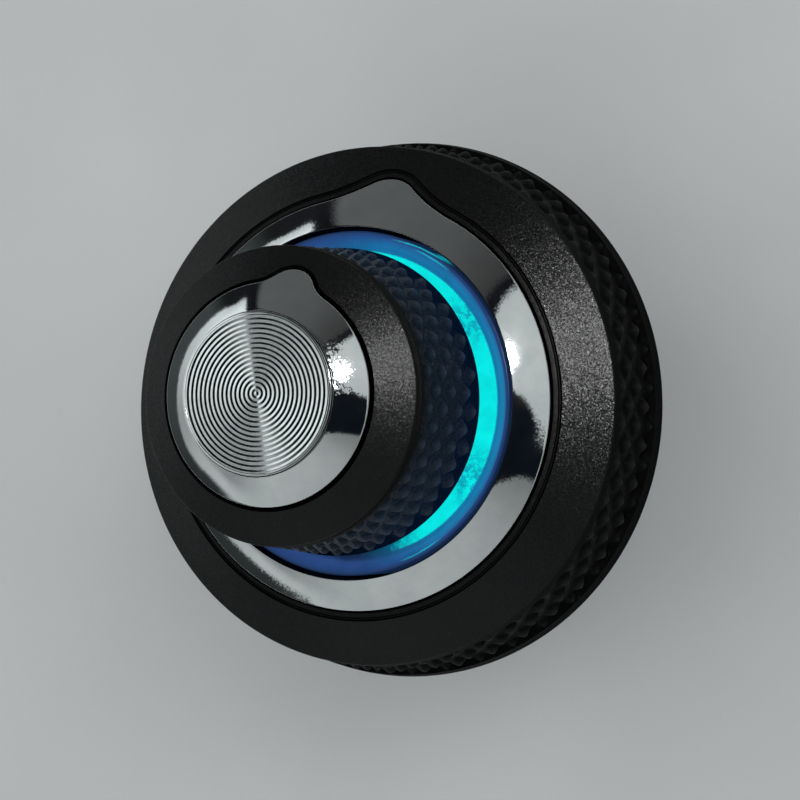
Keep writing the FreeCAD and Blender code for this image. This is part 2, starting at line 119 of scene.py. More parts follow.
def fillet(points, steps=5):
    """Rounds the corners of an open profile. points: (a, b, radius)."""
    out = []
    for i, (x, y, r) in enumerate(points):
        if r <= 0 or i in (0, len(points) - 1):
            out.append((x, y))
            continue
        p = np.array([x, y], float)
        u = np.array(points[i - 1][:2], float) - p
        v = np.array(points[i + 1][:2], float) - p
        lu, lv = np.linalg.norm(u), np.linalg.norm(v)
        u, v = u / lu, v / lv
        half = math.acos(max(-1, min(1, float(u @ v)))) / 2
        t = min(r / math.tan(half), lu * 0.48, lv * 0.48)
        rr = t * math.tan(half)
        a, b = p + u * t, p + v * t
        centre = p + (u + v) / np.linalg.norm(u + v) * (rr / math.sin(half))
        a0 = math.atan2(*(a - centre)[::-1])
        a1 = math.atan2(*(b - centre)[::-1])
        da = (a1 - a0 + math.pi) % (2 * math.pi) - math.pi
        for k in range(steps + 1):
            w = a0 + da * k / steps
            out.append((centre[0] + rr * math.cos(w), centre[1] + rr * math.sin(w)))
    return out


def build(name, phi, rows, body, replaced, mats, turn=0.0, closed=True, pole_start=None, pole_end=None, row_mats=None):
    """Skin over rows of (R, z, material index); R and z are numbers or arrays over phi, in mm. closed joins the last row
    to the first; otherwise the poles close the ends."""
    n, m = len(phi), len(rows)
    co = np.zeros((m, n, 3))
    s, c = np.sin(phi), np.cos(phi)
    for j, row in enumerate(rows):
        R = np.broadcast_to(np.asarray(row[0], float), (n,))
        z = np.broadcast_to(np.asarray(row[1], float), (n,))
        co[j, :, 0], co[j, :, 1], co[j, :, 2] = R * s, R * c, z
    verts = co.reshape(-1, 3)
    quads = []
    mat_of = []
    i0 = np.arange(n)
    i1 = (i0 + 1) % n
    last = m if closed else m - 1
    for j in range(last):
        k = (j + 1) % m
        q = np.stack([j * n + i0, j * n + i1, k * n + i1, k * n + i0], 1)
        quads.append(q)
        mat_of.append(np.full(n, rows[j][2] if len(rows[j]) > 2 else 0))
    quads = np.concatenate(quads)
    mat_of = np.concatenate(mat_of)
    tris = []
    extra = []
    base = len(verts)
    if not closed:
        for z, j, flip in ((pole_start, 0, True), (pole_end, m - 1, False)):
            extra.append((0.0, 0.0, z))
            p = base + len(extra) - 1
            for i in range(n):
                a, b = j * n + i, j * n + (i + 1) % n
                tris.append((b, a, p) if flip else (a, b, p))
    if extra:
        verts = np.concatenate([verts, np.array(extra)])
    if turn:
        a = math.radians(turn)
        x, y = verts[:, 0].copy(), verts[:, 1].copy()
        verts[:, 0] = x * math.cos(a) - y * math.sin(a)
        verts[:, 1] = x * math.sin(a) + y * math.cos(a)
    verts = verts * MM
    me = bpy.data.meshes.new(name)
    nq, nt = len(quads), len(tris)
    me.vertices.add(len(verts))
    me.vertices.foreach_set("co", verts.astype(np.float32).ravel())
    loops = quads.ravel()
    if nt:
        loops = np.concatenate([loops, np.array(tris).ravel()])
    me.loops.add(len(loops))
    me.loops.foreach_set("vertex_index", loops.astype(np.int32))
    me.polygons.add(nq + nt)
    starts = np.concatenate([np.arange(nq) * 4, nq * 4 + np.arange(nt) * 3])
    me.polygons.foreach_set("loop_start", starts.astype(np.int32))
    mi = np.concatenate([mat_of, np.zeros(nt, int)])
    if nt:
        mi[nq:] = mats_pole(rows, n, nt)
    me.polygons.foreach_set("material_index", mi.astype(np.int32))
    me.polygons.foreach_set("use_smooth", np.ones(nq + nt, bool))
    me.update(calc_edges=True)
    me.validate()
    ob = bpy.data.objects.new(name, me)
    bpy.context.scene.collection.objects.link(ob)
    for mt in mats:
        me.materials.append(mt)
    outward(me)
    me.set_sharp_from_angle(angle=math.radians(38))
    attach(ob, body)
    if replaced:
        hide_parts(*replaced)
    return ob


def mats_pole(rows, n, nt):
    a = rows[0][2] if len(rows[0]) > 2 else 0
    b = rows[-1][2] if len(rows[-1]) > 2 else 0
    return np.concatenate([np.full(n, a), np.full(nt - n, b)])


def outward(me):
    """Turns a closed mesh right side out."""
    v = np.zeros(len(me.vertices) * 3, np.float32)
    me.vertices.foreach_get("co", v)
    v = v.reshape(-1, 3).astype(float)
    me.calc_loop_triangles()
    t = np.zeros(len(me.loop_triangles) * 3, np.int32)
    me.loop_triangles.foreach_get("vertices", t)
    t = t.reshape(-1, 3)
    vol = np.einsum("ij,ij->i", v[t[:, 0]], np.cross(v[t[:, 1]], v[t[:, 2]])).sum()
    if vol < 0:
        me.flip_normals()


def knurl(phi, z, starts, pitch, z_mid, depth, first=0.0, top=0.05, bottom=0.10):
    """Height from crest (0) to groove (-depth) of a diamond knurl cut by two crossed families of wide grooves.
    Crests stand at the angle first (degrees), half a pitch above and below z_mid."""
    def tri(x):
        return np.abs(2 * (x - np.floor(x)) - 1)          # 1 in the groove, 0 midway between two grooves
    u = starts * (phi - math.radians(first)) / (2 * np.pi)
    w = (z - z_mid) / pitch
    a, c = tri(u + w), tri(u - w)
    g = (0.5 * (a ** 8 + c ** 8)) ** (1 / 8.0) * 0.25 + np.maximum(a, c) * 0.75
    h = np.clip((g - top) / (1 - top - bottom), 0, 1)
    h = h * h * (3 - 2 * h) * 0.25 + h * 0.75
    return -depth * h


def knurled_rows(phi, z0, z1, step, r_at, starts, pitch, depth, plain, z_mid, first, mat=1, edge=0.05, low=3, high=1, top=0.05, bottom=0.10):
    """Rows from z0 up to z1 with a plain band at either end; plain is (lower, upper) width. low and high are the
    materials of the bands, top is the width of the crests."""
    rows = []
    a, b = z0 + plain[0], z1 - plain[1]
    n = int(round((b - a) / step))
    rows.append((r_at(z0), z0, low))
    rows.append((r_at(a), a - 0.002, low))
    for k in range(n + 1):
        z = a + (b - a) * k / n
        fade = min(1.0, min(z - a, b - z) / edge) if edge else 1.0
        fade = fade * fade * (3 - 2 * fade)
        rows.append((r_at(z) + fade * knurl(phi, np.full_like(phi, z), starts, pitch, z_mid, depth, first, top, bottom), z, low if z < a + 0.10 else mat))
    rows.append((r_at(b), b + 0.002, high))
    rows.append((r_at(z1), z1, high))
    return rows


# ================================================================ materials
def tree(name):
    m = bpy.data.materials.new(name)
    m.use_nodes = True
    return m, m.node_tree, m.node_tree.nodes["Principled BSDF"]


def add(nt, kind, **values):
    node = nt.nodes.new(kind)
    for k, v in values.items():
        if k in node.inputs:
            node.inputs[k].default_value = v
        else:
            setattr(node, k, v)
    return node


def coords(nt):
    return nt.nodes.new("ShaderNodeTexCoord").outputs["Object"]


def noise(nt, co, scale, detail=3.0, rough=0.55, lac=2.0):
    n = add(nt, "ShaderNodeTexNoise", Scale=scale, Detail=detail, Roughness=rough, Lacunarity=lac)
    nt.links.new(co, n.inputs["Vector"])
    return n.outputs["Fac"]


def ramp(nt, fac, stops, mode="LINEAR"):
    r = nt.nodes.new("ShaderNodeValToRGB")
    r.color_ramp.interpolation = mode
    while len(r.color_ramp.elements) < len(stops):
        r.color_ramp.elements.new(0.5)
    for e, (p, col) in zip(r.color_ramp.elements, stops):
        e.position = p
        e.color = (*col, 1) if len(col) == 3 else col
    nt.links.new(fac, r.inputs["Fac"])
    return r.outputs["Color"]


def mapped(nt, value, a0, a1, b0, b1, clamp=True):
    n = nt.nodes.new("ShaderNodeMapRange")
    n.clamp = clamp
    n.inputs["From Min"].default_value, n.inputs["From Max"].default_value = a0, a1
    n.inputs["To Min"].default_value, n.inputs["To Max"].default_value = b0, b1
    nt.links.new(value, n.inputs["Value"])
    return n.outputs["Result"]


def math_node(nt, op, a, b=None):
    n = nt.nodes.new("ShaderNodeMath")
    n.operation = op
    for i, v in enumerate((a, b)):
        if v is None:
            continue
        if isinstance(v, (int, float)):
            n.inputs[i].default_value = v
        else:
            nt.links.new(v, n.inputs[i])
    return n.outputs[0]


def mix(nt, fac, a, b):
    n = nt.nodes.new("ShaderNodeMix")
    n.data_type = "RGBA"
    nt.links.new(fac, n.inputs[0])
    for sock, v in ((n.inputs[6], a), (n.inputs[7], b)):
        if isinstance(v, tuple):
            sock.default_value = (*v, 1)
        else:
            nt.links.new(v, sock)
    return n.outputs[2]


def bump(nt, bsdf, height, distance, strength=1.0, normal=None):
    b = nt.nodes.new("ShaderNodeBump")
    b.inputs["Strength"].default_value = strength
    b.inputs["Distance"].default_value = distance
    nt.links.new(height, b.inputs["Height"])
    if normal is not None:
        nt.links.new(normal, b.inputs["Normal"])
    nt.links.new(b.outputs["Normal"], bsdf.inputs["Normal"])
    return b.outputs["Normal"]


def radius(nt, co):
    """Distance from the knob axis, in metres."""
    s = nt.nodes.new("ShaderNodeSeparateXYZ")
    nt.links.new(co, s.inputs[0])
    x2 = math_node(nt, "MULTIPLY", s.outputs[0], s.outputs[0])
    y2 = math_node(nt, "MULTIPLY", s.outputs[1], s.outputs[1])
    return math_node(nt, "SQRT", math_node(nt, "ADD", x2, y2)), s.outputs[2]


def plastic(name, color, dark, rough, grain, depth, spec=0.5, blotch=250.0):
    """Moulded plastic: fine spark-eroded grain, slow tone change, roughness that follows the grain."""
    m, nt, b = tree(name)
    co = coords(nt)
    slow = noise(nt, co, blotch, 2)
    fine = noise(nt, co, grain, 3, 0.6)
    tone = math_node(nt, "ADD", math_node(nt, "MULTIPLY", slow, 0.5), math_node(nt, "MULTIPLY", fine, 0.5))
    nt.links.new(ramp(nt, tone, [(0.35, dark), (0.65, color)]), b.inputs["Base Color"])
    nt.links.new(mapped(nt, fine, 0.3, 0.7, rough - 0.06, rough + 0.08), b.inputs["Roughness"])
    b.inputs["Specular IOR Level"].default_value = spec
    bump(nt, b, fine, depth)
    return m


def metal(name, color, dark, rough, streak_axis=None, grain=9000.0, depth=2e-6, spots=600.0):
    """Metal with fine brushing along one axis (or none), a slow tone change and uneven roughness."""
    m, nt, b = tree(name)
    co = coords(nt)
    mp = nt.nodes.new("ShaderNodeMapping")
    scale = [1.0, 1.0, 1.0]
    if streak_axis is not None:
        scale[streak_axis] = 0.06
    mp.inputs["Scale"].default_value = scale
    nt.links.new(co, mp.inputs["Vector"])
    fine = noise(nt, mp.outputs[0], grain, 3, 0.6)
    slow = noise(nt, co, spots, 3)
    nt.links.new(ramp(nt, slow, [(0.3, dark), (0.7, color)]), b.inputs["Base Color"])
    nt.links.new(mapped(nt, fine, 0.3, 0.7, max(rough - 0.06, 0.02), rough + 0.10), b.inputs["Roughness"])
    b.inputs["Metallic"].default_value = 1.0
    bump(nt, b, fine, depth)
    return m


def facets(nt, co, size, tilt, fade=None):
    """Surface normal tipped a little, by another amount in every grain of the given size (in metres). fade scales the tilt
    over the surface."""
    cells = add(nt, "ShaderNodeTexVoronoi", Scale=1.0 / size, Randomness=1.0)
    nt.links.new(co, cells.inputs["Vector"])
    centred = nt.nodes.new("ShaderNodeVectorMath")
    centred.operation = "SUBTRACT"
    nt.links.new(cells.outputs["Color"], centred.inputs[0])
    centred.inputs[1].default_value = (0.5, 0.5, 0.5)
    scaled = nt.nodes.new("ShaderNodeVectorMath")
    scaled.operation = "SCALE"
    nt.links.new(centred.outputs[0], scaled.inputs[0])
    if fade is None:
        scaled.inputs["Scale"].default_value = tilt
    else:
        nt.links.new(math_node(nt, "MULTIPLY", fade, tilt), scaled.inputs["Scale"])
    geo = nt.nodes.new("ShaderNodeNewGeometry")
    total = nt.nodes.new("ShaderNodeVectorMath")
    total.operation = "ADD"
    nt.links.new(geo.outputs["Normal"], total.inputs[0])
    nt.links.new(scaled.outputs[0], total.inputs[1])
    unit = nt.nodes.new("ShaderNodeVectorMath")
    unit.operation = "NORMALIZE"
    nt.links.new(total.outputs[0], unit.inputs[0])
    return unit.outputs[0], cells


def knob_black(name, spec, rough, tilt, low, high, size=9.0e-5, flakes=0.985, painted_spill_z=None, crest=None):
    """Satin black with a fine sandblasted grain: every grain mirrors the light its own way, and a few shine."""
    m, nt, b = tree(name)
    co = coords(nt)
    grain = noise(nt, co, 8200, 3, 0.65)
    slow = noise(nt, co, 170, 3)
    normal, cells = facets(nt, co, size, tilt)
    pick = nt.nodes.new("ShaderNodeSeparateColor")
    nt.links.new(cells.outputs["Color"], pick.inputs[0])
    flake = math_node(nt, "GREATER_THAN", pick.outputs[2], flakes)
    tone = math_node(nt, "ADD", math_node(nt, "MULTIPLY", slow, 0.35), math_node(nt, "MULTIPLY", grain, 0.65))
    base = ramp(nt, tone, [(0.36, low), (0.66, high)])
    if crest is not None:
        # painted light and shade on the knurl: the crests are painted lighter than the grooves, a painted highlight on
        # the crests and painted shade in the grooves; crest is (radius, height, radius, height, groove depth, painted
        # crest light)
        ra, za, rb, zb, deep, painted_crest_light = crest
        r, z = radius(nt, co)
        slope = (rb - ra) / (zb - za)
        skirt = math_node(nt, "ADD", math_node(nt, "MULTIPLY", z, slope), (ra - slope * za) * MM)
        h = mapped(nt, math_node(nt, "SUBTRACT", r, skirt), -deep * MM, -0.12 * deep * MM, 0.0, 1.0)
        base = mix(nt, math_node(nt, "MULTIPLY", h, h), base, painted_crest_light)
    nt.links.new(mix(nt, flake, base, (0.020, 0.0205, 0.021)), b.inputs["Base Color"])
    r = mapped(nt, grain, 0.3, 0.7, rough - 0.05, rough + 0.07)
    nt.links.new(math_node(nt, "SUBTRACT", r, math_node(nt, "MULTIPLY", flake, 0.12)), b.inputs["Roughness"])
    b.inputs["Specular IOR Level"].default_value = spec
    bump(nt, b, grain, 1.0e-5, normal=normal)
    if painted_spill_z is not None:
        # painted light: an emission stands in for the dish's blue glow on the lowest part of the side, fading upward
        # over 7 mm, only round the side where the lamps reach
        sep = nt.nodes.new("ShaderNodeSeparateXYZ")
        nt.links.new(co, sep.inputs[0])
        az = math_node(nt, "MULTIPLY", math_node(nt, "ARCTAN2", sep.outputs[1], sep.outputs[0]), 180 / math.pi)
        az = math_node(nt, "SUBTRACT", az, 9.5)
        reach = math_node(nt, "MULTIPLY", mapped(nt, az, -100, -60, 0.05, 1), mapped(nt, az, 118, 84, 0.05, 1))
        up = mapped(nt, sep.outputs[2], painted_spill_z * MM, (painted_spill_z + 7.0) * MM, 0.0, 1.0)
        glow = ramp(nt, up, [(0.0, (0.010, 0.080, 0.260)), (0.015, (0.003, 0.016, 0.065)), (0.036, (0.0006, 0.0048, 0.0170)),
                             (0.3, (0.0006, 0.0054, 0.0140)), (0.75, (0.0003, 0.0042, 0.0100)), (0.9, (0.0001, 0.0015, 0.0040)),
                             (1.0, (0.0, 0.0, 0.0))])
        k = math_node(nt, "MULTIPLY", reach, mapped(nt, grain, 0.3, 0.7, 0.6, 1.25))
        out = nt.nodes.new("ShaderNodeVectorMath")
        out.operation = "SCALE"
        nt.links.new(glow, out.inputs[0])
        nt.links.new(k, out.inputs["Scale"])
        nt.links.new(out.outputs[0], b.inputs["Emission Color"])
        b.inputs["Emission Strength"].default_value = 1.0
    return m


def chrome(name, tilt, size, core=None, patch=None):
    """Plated metal, slightly cloudy, with a fine grain under the plating. core is (radius, width) in metres: the grain
    is coarser near the inner edge."""
    m, nt, b = tree(name)
    co = coords(nt)
    cloud = noise(nt, co, 420, 4, 0.6)
    fine = noise(nt, co, 2600, 3, 0.6)
    nt.links.new(ramp(nt, cloud, [(0.32, (0.68, 0.70, 0.71)), (0.68, (0.78, 0.80, 0.80))]), b.inputs["Base Color"])
    nt.links.new(mapped(nt, cloud, 0.3, 0.7, 0.035, 0.075), b.inputs["Roughness"])
    b.inputs["Metallic"].default_value = 1.0
    fade = None
    if core is not None:
        r, z = radius(nt, co)
        t = mapped(nt, r, core[0], core[0] + core[1], 1.0, 0.16)
        fade = math_node(nt, "MULTIPLY", t, t)
        # coarser still over one stretch of the ring: patch is (centre, half width) in degrees
        sep = nt.nodes.new("ShaderNodeSeparateXYZ")
        nt.links.new(co, sep.inputs[0])
        az = math_node(nt, "MULTIPLY", math_node(nt, "ARCTAN2", sep.outputs[1], sep.outputs[0]), 180 / math.pi)
        off = math_node(nt, "ABSOLUTE", math_node(nt, "SUBTRACT", az, patch[0]))
        fade = math_node(nt, "MULTIPLY", fade, mapped(nt, off, patch[1] + 8.0, patch[1] - 8.0, 0.12, 1.0))
    normal, cells = facets(nt, co, size, tilt, fade)
    bump(nt, b, fine, 8e-7, normal=normal)
    return m


def spun(name):
    m, nt, b = tree(name)
    co = coords(nt)
    r, z = radius(nt, co)
    # fine turning marks: noise that runs round the axis
    comb = nt.nodes.new("ShaderNodeCombineXYZ")
    nt.links.new(r, comb.inputs[0])
    nt.links.new(z, comb.inputs[1])
    marks = noise(nt, comb.outputs[0], 30000, 2, 0.6)
    spots = noise(nt, co, 2500, 3, 0.6)
    tone = math_node(nt, "ADD", math_node(nt, "MULTIPLY", marks, 0.5), math_node(nt, "MULTIPLY", spots, 0.5))
    nt.links.new(ramp(nt, tone, [(0.34, (0.62, 0.65, 0.65)), (0.50, (0.77, 0.80, 0.80)), (0.66, (0.86, 0.88, 0.87))]), b.inputs["Base Color"])
    nt.links.new(mapped(nt, spots, 0.3, 0.7, 0.10, 0.145), b.inputs["Roughness"])
    b.inputs["Metallic"].default_value = 1.0
    bump(nt, b, marks, 6.0e-7)
    return m


def light_ring(name):
    """Translucent ring lit from below: cyan on its floor, blue up its slope, violet at its rim. The lamps reach round
    its right side; elsewhere it glows a dim blue."""
    m, nt, b = tree(name)
    co = coords(nt)
    sep = nt.nodes.new("ShaderNodeSeparateXYZ")
    nt.links.new(co, sep.inputs[0])
    r, z = radius(nt, co)
    az = math_node(nt, "MULTIPLY", math_node(nt, "ARCTAN2", sep.outputs[1], sep.outputs[0]), 180 / math.pi)
    az = math_node(nt, "SUBTRACT", az, 9.5)
    wobble = noise(nt, co, 700, 3, 0.6)
    grains = noise(nt, co, 14000, 2, 0.6)
    coarse = noise(nt, co, 2400, 2, 0.6)
    w0 = math_node(nt, "SUBTRACT", wobble, 0.5)
    g0 = math_node(nt, "SUBTRACT", grains, 0.5)
    rr = math_node(nt, "ADD", r, math_node(nt, "MULTIPLY", w0, 0.00010))
    rr = math_node(nt, "ADD", rr, math_node(nt, "MULTIPLY", g0, 0.00010))
    t = mapped(nt, rr, 0.0090, 0.0106, 0.0, 1.0)
    slope = ramp(nt, t, [
        (0.00, (0.003, 0.200, 0.380)), (0.30, (0.008, 0.150, 0.350)), (0.56, (0.013, 0.112, 0.320)), (0.70, (0.020, 0.072, 0.250)),
        (0.80, (0.014, 0.045, 0.150)), (0.88, (0.007, 0.018, 0.060)), (0.97, (0.003, 0.006, 0.018))])
    dim = ramp(nt, t, [
        (0.00, (0.002, 0.006, 0.020)), (0.25, (0.010, 0.028, 0.090)), (0.40, (0.022, 0.060, 0.200)), (0.56, (0.020, 0.056, 0.200)), (0.72, (0.017, 0.050, 0.170)),
        (0.84, (0.008, 0.022, 0.070)), (0.97, (0.002, 0.005, 0.014))])
    # where the lamps reach, by azimuth
    a0 = math_node(nt, "ADD", az, math_node(nt, "MULTIPLY", math_node(nt, "SUBTRACT", coarse, 0.5), 16.0))
    lit = math_node(nt, "MULTIPLY", mapped(nt, a0, -74, -62, 0, 1), mapped(nt, a0, 96, 86, 0, 1))
    wide = math_node(nt, "MULTIPLY", mapped(nt, az, -88, -55, 0, 1), mapped(nt, az, 112, 80, 0, 1))
    # the bright floor, with a sharp outer edge and a mottled inside
    edge = mapped(nt, rr, 0.00934, 0.00924, 0.0, 1.0)
    patch = math_node(nt, "ADD", mapped(nt, math_node(nt, "ABSOLUTE", math_node(nt, "ADD", az, 31.0)), 14, 4, 0, 0.9),
                      mapped(nt, math_node(nt, "ABSOLUTE", math_node(nt, "SUBTRACT", az, 33.0)), 13, 3, 0, 0.9))
    speck = mapped(nt, math_node(nt, "ADD", grains, math_node(nt, "MULTIPLY", math_node(nt, "SUBTRACT", coarse, 0.5), 1.4)), 0.44, 0.56, 0, 1)
    hole = math_node(nt, "MULTIPLY", patch, speck)
    cyan = math_node(nt, "MULTIPLY", math_node(nt, "MULTIPLY", edge, lit), math_node(nt, "SUBTRACT", 1.0, math_node(nt, "MULTIPLY", hole, 0.75)))
    body = mix(nt, wide, dim, slope)
    # thin bright caustic lines on the outer slope, upper right and lower right
    def line(a_mid, a_half, r_mid, lean, width):
        da = math_node(nt, "SUBTRACT", az, float(a_mid))
        rc = math_node(nt, "ADD", math_node(nt, "MULTIPLY", da, lean), r_mid)
        d = math_node(nt, "ABSOLUTE", math_node(nt, "SUBTRACT", rr, rc))
        across = mapped(nt, d, width, width * 0.35, 0.0, 1.0)
        along = mapped(nt, math_node(nt, "ABSOLUTE", da), a_half, a_half * 0.45, 0.0, 1.0)
        return math_node(nt, "MULTIPLY", across, along)
    marks = line(62, 12, 0.01032, -1.2e-5, 0.000055)
    for args in ((57, 8, 0.01011, -5.0e-6, 0.00008), (-62, 9, 0.01010, 1.5e-6, 0.00007)):
        marks = math_node(nt, "MAXIMUM", marks, math_node(nt, "MULTIPLY", line(*args), 0.8))
    marks = math_node(nt, "MULTIPLY", marks, 0.75)
    col = mix(nt, marks, body, (0.004, 0.55, 0.64))
    col = mix(nt, cyan, col, (0.0015, 0.79, 0.765))
    tone = mapped(nt, wobble, 0.3, 0.7, 0.86, 1.10)
    shade = nt.nodes.new("ShaderNodeVectorMath")
    shade.operation = "SCALE"
    nt.links.new(col, shade.inputs[0])
    nt.links.new(tone, shade.inputs["Scale"])
    nt.links.new(shade.outputs[0], b.inputs["Emission Color"])
    b.inputs["Emission Strength"].default_value = 1.0
    nt.links.new(ramp(nt, grains, [(0.3, (0.002, 0.008, 0.016)), (0.7, (0.004, 0.014, 0.028))]), b.inputs["Base Color"])
    nt.links.new(mapped(nt, wobble, 0.3, 0.7, 0.22, 0.34), b.inputs["Roughness"])
    b.inputs["Specular IOR Level"].default_value = 0.18
    bump(nt, b, wobble, 1.0e-5)
    return m


def clear(name):
    m, nt, b = tree(name)
    co = coords(nt)
    n = noise(nt, co, 900, 3)
    nt.links.new(ramp(nt, n, [(0.3, (0.55, 0.72, 0.80)), (0.7, (0.75, 0.88, 0.92))]), b.inputs["Base Color"])
    nt.links.new(mapped(nt, n, 0.3, 0.7, 0.08, 0.22), b.inputs["Roughness"])
    b.inputs["Transmission Weight"].default_value = 0.75
    b.inputs["IOR"].default_value = 1.49
    return m


def board(name):
    """Solder mask with copper tracks showing through faintly."""
    m, nt, b = tree(name)
    co = coords(nt)
    wave = add(nt, "ShaderNodeTexBrick")
    wave.inputs["Scale"].default_value = 420.0
    wave.inputs["Mortar Size"].default_value = 0.06
    nt.links.new(co, wave.inputs["Vector"])
    wave.inputs["Color1"].default_value = (0.006, 0.060, 0.030, 1)
    wave.inputs["Color2"].default_value = (0.008, 0.075, 0.036, 1)
    wave.inputs["Mortar"].default_value = (0.020, 0.150, 0.070, 1)
    n = noise(nt, co, 2000, 3)
    nt.links.new(wave.outputs["Color"], b.inputs["Base Color"])
    nt.links.new(mapped(nt, n, 0.3, 0.7, 0.22, 0.36), b.inputs["Roughness"])
    bump(nt, b, n, 4e-6)
    return m


KNOB_FACE = knob_black("knob_black_face", 0.24, 0.30, 0.25, (0.0014, 0.0015, 0.0017), (0.0052, 0.0054, 0.0058), 6.0e-5, flakes=0.996)
KNOB_FACE_IN = knob_black("knob_black_face_inner", 0.225, 0.36, 0.20, (0.0018, 0.0019, 0.0021), (0.0060, 0.0062, 0.0066), 6.0e-5, flakes=0.996)
# the outer knob's side carries a painted highlight on its knurl crests, lighter grey than the black of its grooves
KNOB_SIDE = knob_black("knob_black_side", 0.04, 0.40, 0.10, (0.0008, 0.0009, 0.0010), (0.0024, 0.0025, 0.0027), flakes=0.998,
                       crest=(outer_r_base, knob_base, outer_r_front, face_out_z - 0.35, 0.42, (0.0165, 0.0168, 0.0173)))
# the inner knob's side carries painted blue dish light on its knurl crests, and the side and rim carry a painted blue
# glow of the dish on their lowest part
KNOB_SIDE_IN = knob_black("knob_black_side_inner", 0.15, 0.28, 0.08, (0.0004, 0.0005, 0.0007), (0.0014, 0.0016, 0.0020), flakes=0.998,
                          painted_spill_z=in_skirt_z, crest=(in_r_base, in_skirt_z, in_r_front, in_face_out_z - 0.25, 0.40, (0.0205, 0.0300, 0.0430)))
RIM_IN = knob_black("knob_black_rim_inner", 0.0, 0.60, 0.10, (0.0011, 0.0012, 0.0013), (0.0030, 0.0031, 0.0034), flakes=0.999, painted_spill_z=in_skirt_z)
RIM = knob_black("knob_black_rim", 0.015, 0.55, 0.10, (0.0014, 0.0015, 0.0016), (0.0036, 0.0037, 0.0040), flakes=0.999)
LEDGE = knob_black("knob_black_ledge", 0.12, 0.42, 0.16, (0.0016, 0.0017, 0.0018), (0.0060, 0.0062, 0.0066), flakes=0.998)
GROOVE = knob_black("knob_black_groove", 0.06, 0.50, 0.05, (0.0008, 0.0008, 0.0009), (0.0020, 0.0020, 0.0022), flakes=0.999)
CHROME = chrome("bright_chrome", 0.012, 9.0e-5)
CHROME_IN = chrome("bright_chrome_inner", 0.17, 8.0e-5, (4.6 * MM, 1.6 * MM), (24.0, 22.0))
SPUN = spun("spun_aluminium")
LIGHT = light_ring("light_ring")

slot_mats = {
    "black_case": plastic("black_case", (0.034, 0.035, 0.038), (0.018, 0.019, 0.021), 0.46, 5200.0, 2.2e-5),
    "foam": plastic("foam", (0.060, 0.060, 0.064), (0.020, 0.020, 0.022), 0.85, 2600.0, 1.2e-4, 0.25, 900.0),
    "zinc_steel": metal("zinc_steel", (0.66, 0.67, 0.68), (0.50, 0.51, 0.53), 0.26, None, 5000.0, 3e-6, 900.0),
    "black_steel": metal("black_steel", (0.075, 0.075, 0.082), (0.035, 0.035, 0.040), 0.30, None, 5000.0, 3e-6, 900.0),
    "nickel_brass": metal("nickel_brass", (0.72, 0.70, 0.65), (0.60, 0.57, 0.51), 0.20, 2, 7000.0, 2e-6, 700.0),
    "board_green": board("board_green"),
    "led_white": plastic("led_white", (0.88, 0.87, 0.78), (0.76, 0.74, 0.60), 0.25, 3000.0, 4e-6),
    "chip_black": plastic("chip_black", (0.028, 0.028, 0.030), (0.016, 0.016, 0.018), 0.5, 9000.0, 8e-6),
    "ceramic_tan": plastic("ceramic_tan", (0.50, 0.36, 0.22), (0.34, 0.23, 0.13), 0.4, 6000.0, 5e-6),
    "socket_black": plastic("socket_black", (0.026, 0.026, 0.028), (0.014, 0.014, 0.016), 0.34, 4200.0, 8e-6),
    "gold_contact": metal("gold_contact", (0.90, 0.66, 0.28), (0.78, 0.54, 0.20), 0.20, None, 9000.0, 1e-6, 1500.0),
    "tin": metal("tin", (0.70, 0.71, 0.70), (0.52, 0.53, 0.53), 0.32, None, 6000.0, 2e-6, 1500.0),
    "clear_acrylic": clear("clear_acrylic"),
    "switch_plastic": plastic("switch_plastic", (0.08, 0.08, 0.09), (0.05, 0.05, 0.055), 0.45, 6000.0, 8e-6),
    "plunger_white": plastic("plunger_white", (0.82, 0.80, 0.74), (0.72, 0.70, 0.63), 0.35, 6000.0, 4e-6),
    "spring_steel": metal("spring_steel", (0.60, 0.60, 0.62), (0.46, 0.46, 0.48), 0.24, None, 8000.0, 2e-6, 1200.0),
    "die_cast": metal("die_cast", (0.60, 0.60, 0.62), (0.46, 0.46, 0.48), 0.42, None, 4200.0, 8e-6, 1200.0),
    "phenolic": plastic("phenolic", (0.11, 0.07, 0.045), (0.06, 0.04, 0.025), 0.5, 5000.0, 8e-6),
    "rotor_plastic": plastic("rotor_plastic", (0.74, 0.71, 0.62), (0.64, 0.60, 0.50), 0.4, 6000.0, 5e-6),
    "shaft_brass": metal("shaft_brass", (0.78, 0.62, 0.32), (0.62, 0.46, 0.22), 0.22, 2, 8000.0, 2e-6, 800.0),
    "light_ring": LIGHT,
    "knob_black": KNOB_SIDE,
    "bright_chrome": CHROME,
    "spun_aluminium": SPUN,
}
slot_of = {s["node"]: s["material_slot"] for s in frame["record"]["subparts"]}
for node_name, ob in nodes.items():
    ob.data.materials.clear()
    ob.data.materials.append(slot_mats[slot_of[node_name]])

# ================================================================ outer knob
N_OUT = 860
phi_o = np.arange(N_OUT) * 2 * np.pi / N_OUT
KN_O = 44


def face_z(R):
    return face_in_z - (np.asarray(R, float) - face_in_r) * face_slope


def outer_skirt_r(z):
    t = (z - knob_base) / (face_out_z - 0.35 - knob_base)
    return outer_r_base + (outer_r_front - outer_r_base) * min(max(t, 0), 1)


